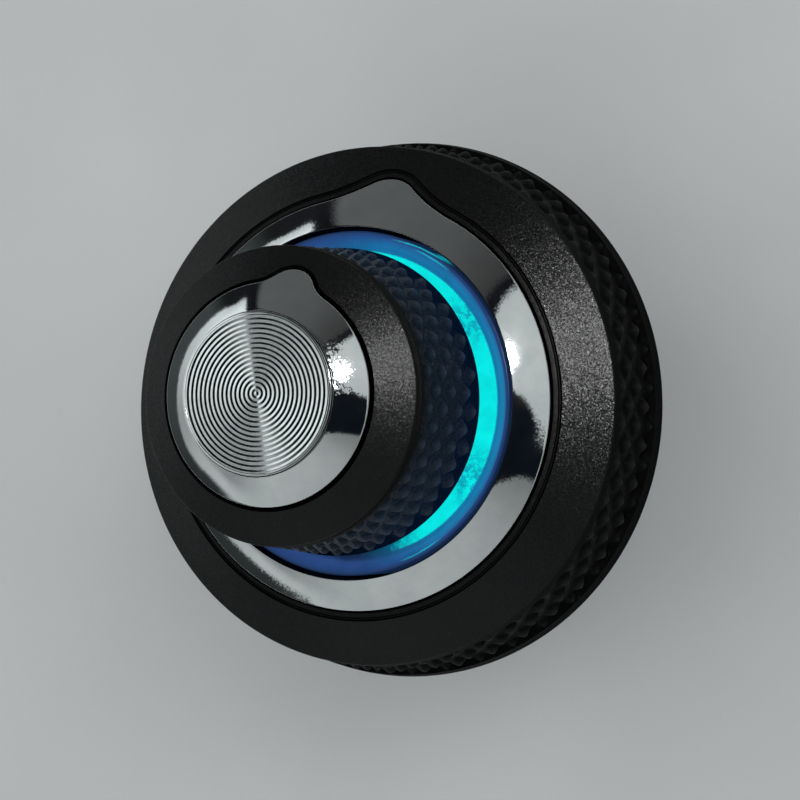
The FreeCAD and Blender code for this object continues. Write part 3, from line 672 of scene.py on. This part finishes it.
rows = []
for r, z in fillet([(skirt_in_r, 6.0, 0), (skirt_in_r, knob_base, 0.12), (outer_skirt_r(knob_base), knob_base, 0.16),
                    (outer_skirt_r(knob_base + 0.4), knob_base + 0.4, 0)], 5)[:-1]:
    rows.append((r, z, 3))
rows += knurled_rows(phi_o, knob_base + 0.30, face_out_z - 0.30, 0.08, outer_skirt_r, KN_O, 1.87, 0.42, (0.75, 0.52),
                     5.27, 3.68, edge=0.10, high=3, top=0.12, bottom=0.36)
for r, z in fillet([(outer_skirt_r(face_out_z - 0.30), face_out_z - 0.30, 0), (outer_r_front - 0.01, face_out_z - 0.06, 0.16),
                    (face_out_r - 0.4, float(face_z(face_out_r - 0.4)), 0)], 8)[1:]:
    rows.append((r, z, 2 if z < face_out_z - 0.08 else 0))
edge_off = groove + 0.05
inner_edge = outline(phi_o, ring_out_r, out_tip, edge_off)
for t in np.linspace(0, 1, 9)[1:]:
    R = (face_out_r - 0.4) * (1 - t) + inner_edge * t
    rows.append((R, face_z(R), 0))
# rounded edge, two fine grooves, ledge and gap round the bright ring: (offset from the ring's outline, depth below the face)
walls = fillet([(edge_off, 0.0, 0), (groove, 0.0, 0.05), (groove - 0.02, -0.22, 0.01), (0.545, -0.22, 0.01), (0.53, -0.07, 0.02), (0.485, -0.07, 0.02),
                (0.47, -0.20, 0.01), (0.42, -0.20, 0.01), (0.40, -0.12, 0.02), (0.13, -0.16, 0.04), (0.12, -0.9, 0)], 3)[1:]
for d, dz in walls:
    R = outline(phi_o, ring_out_r, out_tip, d)
    rows.append((R, np.maximum(face_z(R) + dz, web_top + 0.02), 4 if 0.14 < d < 0.43 or 0.475 < d < 0.54 else 2))
R = outline(phi_o, ring_out_r, out_tip, 0.12)
rows.append((R, np.full(N_OUT, web_top), 2))
rows += [(dish_r + 0.06, web_top, 1), (9.75, web_top, 1), (9.75, web_low, 1), (skirt_in_r, web_low, 1), (skirt_in_r, 7.0, 1)]
build("outer_knob_body", phi_o, rows, "outer_knob", ["outer_knob_shell"], [KNOB_FACE, KNOB_SIDE, GROOVE, RIM, LEDGE])


# ---- outer bright ring
def ring_rows(phi, R_in, z_in, R_out, z_out, slope, tip, seat, crown, edge_in, edge_out, steps=14):
    def top(R):
        s = np.clip((np.asarray(R, float) - R_in) / (R_out - R_in), 0, 1)
        return z_out + (R_out - np.asarray(R, float)) * slope - crown * (1 - s) ** 3
    rows = [(R_in, seat + 0.05, 1)]
    zi = float(top(R_in))
    for k, (r, z) in enumerate(fillet([(R_in, zi - 0.5, 0), (R_in, zi, edge_in), (R_in + 0.5, float(top(R_in + 0.5)), 0)], 7)[1:-1]):
        rows.append((r, z, 1 if k < 4 else 0))
    r_start = rows[-1][0]
    r_end = outline(phi, R_out, tip, -edge_out * 0.8)
    for t in np.linspace(0, 1, steps)[1:] ** 1.3:
        R = r_start * (1 - t) + r_end * t
        rows.append((R, top(R)))
    # rounded outer edge, in (offset, drop below the cone)
    drop = [(-edge_out * 0.8, 0.0)]
    arc = fillet([(-edge_out * 2, edge_out * 2 * slope, 0), (0, 0, edge_out), (0, -2 * edge_out, 0)], 8)[1:-1]
    for d, dz in arc:
        R = outline(phi, R_out, tip, d)
        R0 = outline(phi, R_out, tip, 0.0)
        rows.append((R, top(R0) + dz))
    R0 = outline(phi, R_out, tip, 0.0)
    rows.append((R0, np.full(len(phi), seat + 0.05)))
    rows.append((outline(phi, R_out, tip, -0.05), np.full(len(phi), float(seat))))
    rows.append((R_in + 0.05, seat, 1))
    return rows


build("outer_pointer_ring", phi_o, ring_rows(phi_o, ring_in_r, ring_in_z, ring_out_r, z_ring, ring_slope, out_tip, web_top, 0.12, 0.07, 0.13, 22),
      "outer_knob", ["outer_bright_ring"], [CHROME, GROOVE])

# ---- lit dish between the knobs
rows = []
for r, z in fillet([(5.0, 8.3, 0), (5.0, web_top, 0.02), (dish_r, web_top, 0.02), (dish_r, dish_z, 0.10), (dish_r - 0.24, dish_z, 0.12),
                    (dish_floor_r + 0.30, dish_floor_z + 0.22, 0.5), (dish_floor_r, dish_floor_z, 0.12), (4.9, dish_floor_z, 0.05),
                    (4.9, 11.1, 0.05), (4.15, 11.1, 0.05), (4.15, 12.3, 0.05), (4.05, 12.5, 0.04), (3.03, 12.5, 0.03), (3.03, 8.3, 0)], 6):
    rows.append((r, z))
build("lit_dish", phi_o[::2], rows, "outer_knob", ["light_dish"], [LIGHT])

# ================================================================ inner knob
N_IN = 600
phi_i = np.arange(N_IN) * 2 * np.pi / N_IN
KN_I = 26


def in_face_z(R):
    return in_face_in_z - (np.asarray(R, float) - in_face_in_r) * in_face_slope


def inner_skirt_r(z):
    t = (z - in_skirt_z) / (in_face_out_z - 0.25 - in_skirt_z)
    return in_r_base + (in_r_front - in_r_base) * min(max(t, 0), 1)


rows = []
for r, z in fillet([(7.62, 17.0, 0), (7.75, in_skirt_z, 0.10), (inner_skirt_r(in_skirt_z), in_skirt_z, 0.26),
                    (inner_skirt_r(in_skirt_z + 0.4), in_skirt_z + 0.4, 0)], 5)[:-1]:
    rows.append((r, z, 3))
rows += knurled_rows(phi_i, in_skirt_z + 0.24, in_face_out_z - 0.72, 0.07, inner_skirt_r, KN_I, 1.87, 0.40, (0.14, 0.30),
                     17.07, 11.97, edge=0.08, high=2, top=0.16, bottom=0.36)
# two fine turned lines in the plain band under the face's edge
for z in (in_face_out_z - 0.62, in_face_out_z - 0.42):
    for dr, dz in ((0.0, -0.05), (-0.06, -0.02), (-0.06, 0.02), (0.0, 0.05)):
        rows.append((inner_skirt_r(z + dz) + dr, z + dz, 2))
for r, z in fillet([(inner_skirt_r(in_face_out_z - 0.26), in_face_out_z - 0.26, 0), (in_r_front - 0.005, in_face_out_z - 0.035, 0.13),
                    (in_face_out_r - 0.3, float(in_face_z(in_face_out_r - 0.3)), 0)], 8)[1:]:
    rows.append((r, z, 2 if z < in_face_out_z - 0.06 else 0))
line_w = in_groove - 0.06                # the gap that shows: the face's lip narrows the groove
edge_off = line_w + 0.04
inner_edge = outline(phi_i, in_ring_out_r, in_tip, edge_off)
for t in np.linspace(0, 1, 8)[1:]:
    R = (in_face_out_r - 0.3) * (1 - t) + inner_edge * t
    rows.append((R, in_face_z(R), 0))
walls = fillet([(edge_off, 0.0, 0), (line_w, 0.0, 0.035), (line_w, -0.30, 0.02), (0.15, -0.30, 0.03), (0.15, -0.8, 0)], 4)[1:]
for d, dz in walls:
    R = outline(phi_i, in_ring_out_r, in_tip, d)
    rows.append((R, np.maximum(in_face_z(R) + dz, in_seat_z + 0.02), 2))
rows.append((outline(phi_i, in_ring_out_r, in_tip, 0.15), np.full(N_IN, in_seat_z), 2))
rows.append((3.0, in_seat_z, 2))
rows.append((1.55, in_seat_z - 0.02, 2))
rows += [(1.55, 14.2, 1), (3.3, 14.2, 1), (3.5, 20.7, 1), (7.1, 20.7, 1), (7.55, 20.2, 1)]
build("inner_knob_body", phi_i, rows, "inner_knob", ["inner_knob_shell"], [KNOB_FACE_IN, KNOB_SIDE_IN, GROOVE, RIM_IN], turn=inner_rest_turn)

build("inner_pointer_ring", phi_i, ring_rows(phi_i, disc_r + 0.02, disc_z - 0.01, in_ring_out_r, in_ring_out_z, in_ring_slope, in_tip, in_seat_z, 0.12,
                                             0.05, 0.12, 22), "inner_knob", ["inner_bright_ring"], [CHROME_IN, GROOVE], turn=inner_rest_turn)

# ---- spun disc: rounded ridges and valleys at the turning pitch
pitch, n_ridge = 0.272, 16
per = 16
rows = []
r0 = 0.08
prof = []
ridge = 0.0155                          # steepest slope of the turned grooves about 19 degrees
for i in range(n_ridge * per + 1):
    x = 2 * math.pi * i / per
    prof.append((r0 + i * pitch / per, disc_z - 0.06 - ridge * (math.sin(x) - math.sin(3 * x) / 9)))
rows = [(r, z) for r, z in prof]
for r, z in fillet([(rows[-1][0], disc_z - 0.06, 0), (disc_r - 0.11, disc_z - 0.02, 0.02), (disc_r, disc_z - 0.03, 0.04), (disc_r, in_seat_z, 0)], 5)[1:]:
    rows.append((r, z))
build("spun_cap", phi_i, rows, "inner_knob", ["spun_disc"], [SPUN], turn=inner_rest_turn, closed=False,
      pole_start=disc_z - 0.05, pole_end=in_seat_z)

# ---- return spring: same coil, with its doubled vertices merged and smooth shading
coil = bpy.data.objects.new("return_spring_coil", nodes["return_spring"].data.copy())
bpy.context.scene.collection.objects.link(coil)
bm = bmesh.new()
bm.from_mesh(coil.data)
bmesh.ops.remove_doubles(bm, verts=bm.verts, dist=1.0e-7)
bm.to_mesh(coil.data)
bm.free()
for poly in coil.data.polygons:
    poly.use_smooth = True
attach(coil, nodes["return_spring"]["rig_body"])
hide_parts("return_spring")
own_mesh(coil)

# ================================================================ floor, light and camera
floor_z = -17.8 * MM


def pale_floor():
    n = 96
    R = 0.17
    me = bpy.data.meshes.new("floor")
    vs = [(0, 0, floor_z)] + [(R * math.cos(2 * math.pi * i / n), R * math.sin(2 * math.pi * i / n), floor_z) for i in range(n)]
    me.from_pydata(vs, [], [(0, i + 1, (i + 1) % n + 1) for i in range(n)])
    ob = bpy.data.objects.new("floor", me)
    bpy.context.scene.collection.objects.link(ob)
    m, nt, b = tree("floor_pale")
    co = coords(nt)
    f = noise(nt, co, 30, 3)
    nt.links.new(ramp(nt, f, [(0.3, (0.66, 0.67, 0.68)), (0.7, (0.72, 0.73, 0.74))]), b.inputs["Base Color"])
    b.inputs["Roughness"].default_value = 0.75
    b.inputs["Specular IOR Level"].default_value = 0.2
    me.materials.append(m)


pale_floor()

FIT_TURN = 9.5          # the photograph's light directions are written with the camera's own azimuth


def aim(az, el, dist=0.55, target=(0, 0, 0.012)):
    a, e = math.radians(az + FIT_TURN), math.radians(el)
    d = Vector((math.cos(a) * math.cos(e), math.sin(a) * math.cos(e), math.sin(e)))
    return Vector(target) + d * dist, d


def softbox(name, az, el, w, h, radiance, dist=0.55, roll=0.0, color=(1, 1, 1), glossy=True, diffuse=True):
    """Rectangular light facing the object. w and h are its width and height in degrees, as seen from the object."""
    data = bpy.data.lights.new(name, "AREA")
    data.shape = "RECTANGLE"
    data.size = 2 * dist * math.tan(math.radians(w / 2))
    data.size_y = 2 * dist * math.tan(math.radians(h / 2))
    data.energy = radiance * math.pi * data.size * data.size_y
    data.color = color
    ob = bpy.data.objects.new(name, data)
    bpy.context.scene.collection.objects.link(ob)
    pos, d = aim(az, el, dist)
    ob.location = pos
    q = (-d).to_track_quat("-Z", "Y")
    ob.rotation_mode = "QUATERNION"
    ob.rotation_quaternion = q @ Matrix.Rotation(math.radians(roll), 3, "Z").to_quaternion()
    ob.visible_glossy, ob.visible_diffuse = glossy, diffuse
    return ob


softbox("key_core", 26.5, 52, 6.5, 11, 120.0, diffuse=False)
softbox("key_soft", 24, 55, 22, 22, 2.2, glossy=False)
softbox("overhead_fill", 60, 82, 70, 70, 0.85, glossy=False)


def studio():
    """Large soft panels of light all round, seen by the surfaces but not by the camera, which sees a pale backdrop.
    Azimuths are the photograph's own, 0 to 360; elevations are in degrees."""
    w = bpy.data.worlds.new("studio")
    w.use_nodes = True
    nt = w.node_tree
    bg = nt.nodes["Background"]
    out = nt.nodes["World Output"]
    co = nt.nodes.new("ShaderNodeTexCoord").outputs["Generated"]
    sep = nt.nodes.new("ShaderNodeSeparateXYZ")
    nt.links.new(co, sep.inputs[0])
    a = math_node(nt, "MULTIPLY", math_node(nt, "ARCTAN2", sep.outputs[1], sep.outputs[0]), 180 / math.pi)
    a = math_node(nt, "MODULO", math_node(nt, "ADD", a, 720.0 - FIT_TURN), 360.0)
    el = math_node(nt, "MULTIPLY", math_node(nt, "ARCSINE", sep.outputs[2]), 180 / math.pi)
    # how far a direction lies from the sharp upright edge of the left panel
    c, s_ = math.cos(math.radians(FIT_TURN)), math.sin(math.radians(FIT_TURN))
    x = math_node(nt, "ADD", math_node(nt, "MULTIPLY", sep.outputs[0], c), math_node(nt, "MULTIPLY", sep.outputs[1], s_))
    y = math_node(nt, "SUBTRACT", math_node(nt, "MULTIPLY", sep.outputs[1], c), math_node(nt, "MULTIPLY", sep.outputs[0], s_))
    edge_l = math_node(nt, "ADD", math_node(nt, "MULTIPLY", x, 0.988), math_node(nt, "MULTIPLY", y, 0.156))

    def step(v, edge, soft):
        """0 below edge, 1 above; a negative soft turns it round."""
        n = nt.nodes.new("ShaderNodeMapRange")
        n.interpolation_type = "SMOOTHSTEP"
        n.inputs["From Min"].default_value = edge - abs(soft) / 2
        n.inputs["From Max"].default_value = edge + abs(soft) / 2
        n.inputs["To Min"].default_value = 0.0 if soft > 0 else 1.0
        n.inputs["To Max"].default_value = 1.0 if soft > 0 else 0.0
        nt.links.new(v, n.inputs["Value"])
        return n.outputs["Result"]

    def both(*masks):
        m = masks[0]
        for k in masks[1:]:
            m = math_node(nt, "MULTIPLY", m, k)
        return m

    def curve(stops, lo, hi, src=None, start=0.0):
        """A number that changes with azimuth: (azimuth, value) stops, values between lo and hi."""
        t = math_node(nt, "DIVIDE", math_node(nt, "SUBTRACT", a if src is None else src, start), 360.0)
        e = ramp(nt, t, [((p - start) / 360.0, ((v - lo) / (hi - lo),) * 3) for p, v in stops])
        return math_node(nt, "ADD", math_node(nt, "MULTIPLY", e, hi - lo), lo)

    def scaled(color, k):
        v = nt.nodes.new("ShaderNodeVectorMath")
        v.operation = "SCALE"
        v.inputs[0].default_value = color
        nt.links.new(k, v.inputs["Scale"])
        return v.outputs[0]

    a_key = math_node(nt, "SUBTRACT", math_node(nt, "MODULO", math_node(nt, "ADD", a, 180.0), 360.0), 180.0)
    white = (0.93, 1.0, 1.0)
    col = mix(nt, step(el, 10.0, 20.0), (0.012, 0.013, 0.015), (0.006, 0.007, 0.009))
    # dim wall on the left
    dim = curve([(0, 0.0), (137, 0.012), (145, 0.066), (182, 0.058), (200, 0.036), (234, 0.032), (262, 0.010), (360, 0.0)], 0.0, 0.1)
    col = mix(nt, both(step(a, 136.0, 10.0), step(a, 262.0, -30.0), step(el, 24.0, -16.0)), col, scaled((0.86, 1.0, 1.02), dim))
    # grey panel behind, darker towards the key panel
    grey = curve([(0, 0.04), (53, 0.04), (84, 0.105), (118, 0.125), (360, 0.125)], 0.0, 0.2)
    rear = both(step(a, 56.0, 4.0), step(a, 119.5, -4.0), step(el, 52.0, -16.0))
    col = mix(nt, rear, col, scaled((0.96, 1.0, 1.0), grey))
    # blue dark opening between key and lower panels
    col = mix(nt, both(step(a, 312.0, 10.0), step(el, 60.0, -20.0)), col, (0.0042, 0.0064, 0.0098))
    # key panel on the right: its left edge leans outwards as it goes down
    top_l = curve([(-60, -10), (-22, 37), (-16, 39.2), (-8, 40.6), (-3, 42.2), (2.3, 44.6), (6, 48.0), (9, 54.0), (12, 66), (180, 70)], -20.0, 80.0, a_key, -180.0)
    key = both(step(math_node(nt, "SUBTRACT", el, top_l), 0.0, -2.0), step(a_key, -17.0, 4.0), step(math_node(nt, "ADD", a_key, math_node(nt, "MULTIPLY", math_node(nt, "SUBTRACT", el, 35.0), 0.25)), 50.5, -3.0), step(el, 64.0, -10.0), step(el, 6.0, 10.0))
    col = mix(nt, key, col, (0.555, 0.595, 0.595))
    # low strip that joins it to the lower panel
    col = mix(nt, both(step(math_node(nt, "ABSOLUTE", math_node(nt, "ADD", a_key, 20.0)), 24.0, -6.0), step(el, 30.0, -5.0), step(el, 3.0, 8.0)), col,
              (0.47, 0.50, 0.50))
    # lower panel, from the right round to the left; its right edge leans inwards as it goes up
    floor_el = curve([(0, -8), (206, 8), (214, 6.5), (219, 7.4), (224, 8.6), (228, 9.4), (232, 10.4), (234.5, 6), (238, -3), (250, -8), (360, -8)], -20.0, 30.0)
    up = step(math_node(nt, "SUBTRACT", el, floor_el), 0.0, 2.5)
    lean = math_node(nt, "ADD", a, math_node(nt, "MULTIPLY", math_node(nt, "MAXIMUM", math_node(nt, "SUBTRACT", el, 40.5), 0.0), 0.93))
    low = curve([(0, 0.50), (216, 0.50), (232, 0.54), (244, 0.53), (256, 0.49), (270, 0.48), (284, 0.45), (294, 0.42), (305, 0.385), (317, 0.28), (326, 0.23), (360, 0.23)], 0.0, 1.0)
    col = mix(nt, both(step(a, 216.0, 8.0), step(lean, 328.6, -3.0), up, step(el, 60.0, -14.0)), col, scaled((0.94, 1.0, 1.0), low))
    # left panel: sharp edge on its right, fading round the lower left
    base_el = curve([(0, 60), (113, 55), (117.5, 38), (121, 18), (127, 10.5), (133, 10.2), (138, 6.5), (142, 5.0), (151, 1.6), (160, -1.9), (169, -3.2),
                     (186, -3.0), (195, -1.6), (204.5, 1.8), (210, 4.6), (216, 6.4), (222, 8.0), (228, 9.4), (232, 10.4), (234.5, 6), (238, -3), (252, -10),
                     (360, 60)], -20.0, 60.0)
    glow_up = curve([(0, 0.95), (120, 0.95), (172, 0.92), (188, 0.66), (203, 0.33), (222, 0.31), (234, 0.42), (244, 0.48), (270, 0.47), (360, 0.47)], 0.0, 1.0)
    glow_low = curve([(0, 0.55), (120, 0.58), (133, 0.66), (141, 0.78), (151, 0.72), (160, 0.60), (169, 0.53), (178, 0.43), (186, 0.35), (195, 0.40),
                      (204, 0.46), (212, 0.52), (219, 0.57), (228, 0.55), (244, 0.53), (256, 0.49), (270, 0.48), (360, 0.48)], 0.0, 1.0)
    high = step(el, 14.0, 9.0)
    glow = math_node(nt, "ADD", math_node(nt, "MULTIPLY", glow_up, high), math_node(nt, "MULTIPLY", glow_low, math_node(nt, "SUBTRACT", 1.0, high)))
    wall = both(step(edge_l, -0.441, -0.014), step(math_node(nt, "SUBTRACT", el, base_el), 0.0, 2.5), step(a, 98.0, 8.0))
    col = mix(nt, wall, col, scaled(white, glow))
    nt.links.new(col, bg.inputs["Color"])
    bg.inputs["Strength"].default_value = 1.0
    back = nt.nodes.new("ShaderNodeBackground")
    back.inputs["Color"].default_value = (0.66, 0.67, 0.69, 1)
    choose = nt.nodes.new("ShaderNodeMixShader")
    path = nt.nodes.new("ShaderNodeLightPath")
    nt.links.new(path.outputs["Is Camera Ray"], choose.inputs[0])
    nt.links.new(bg.outputs[0], choose.inputs[1])
    nt.links.new(back.outputs[0], choose.inputs[2])
    nt.links.new(choose.outputs[0], out.inputs["Surface"])
    bpy.context.scene.world = w


studio()

cam = bpy.data.cameras.new("camera")
cam.lens = 99.0
cam.sensor_width = 36.0
cam.sensor_fit = "HORIZONTAL"
cam.clip_start, cam.clip_end = 0.005, 5.0
cam_ob = bpy.data.objects.new("camera", cam)
bpy.context.scene.collection.objects.link(cam_ob)


def camera_frame():
    """Camera fitted to the photograph's circles, turned so that the outer pointer stands at +Y."""
    C = Vector((55.36717, -6.13203, 121.52197))
    X = Vector((0.918421, -0.000066, -0.395604))
    b = Vector((0.395155, -0.047439, 0.917389))
    turn = Matrix.Rotation(math.radians(FIT_TURN), 3, "Z")
    C, X, b = turn @ C, (turn @ X).normalized(), (turn @ b).normalized()
    C.z += z_ring
    Y = b.cross(X).normalized()
    X = Y.cross(b).normalized()
    m = Matrix((X, Y, b)).transposed().to_4x4()
    m.translation = C * MM
    return m


cam_ob.matrix_world = camera_frame()
bpy.context.scene.camera = cam_ob

vs = bpy.context.scene.view_settings
vs.view_transform = "Standard"
vs.look = "None"
vs.exposure = 0.0
vs.gamma = 1.0
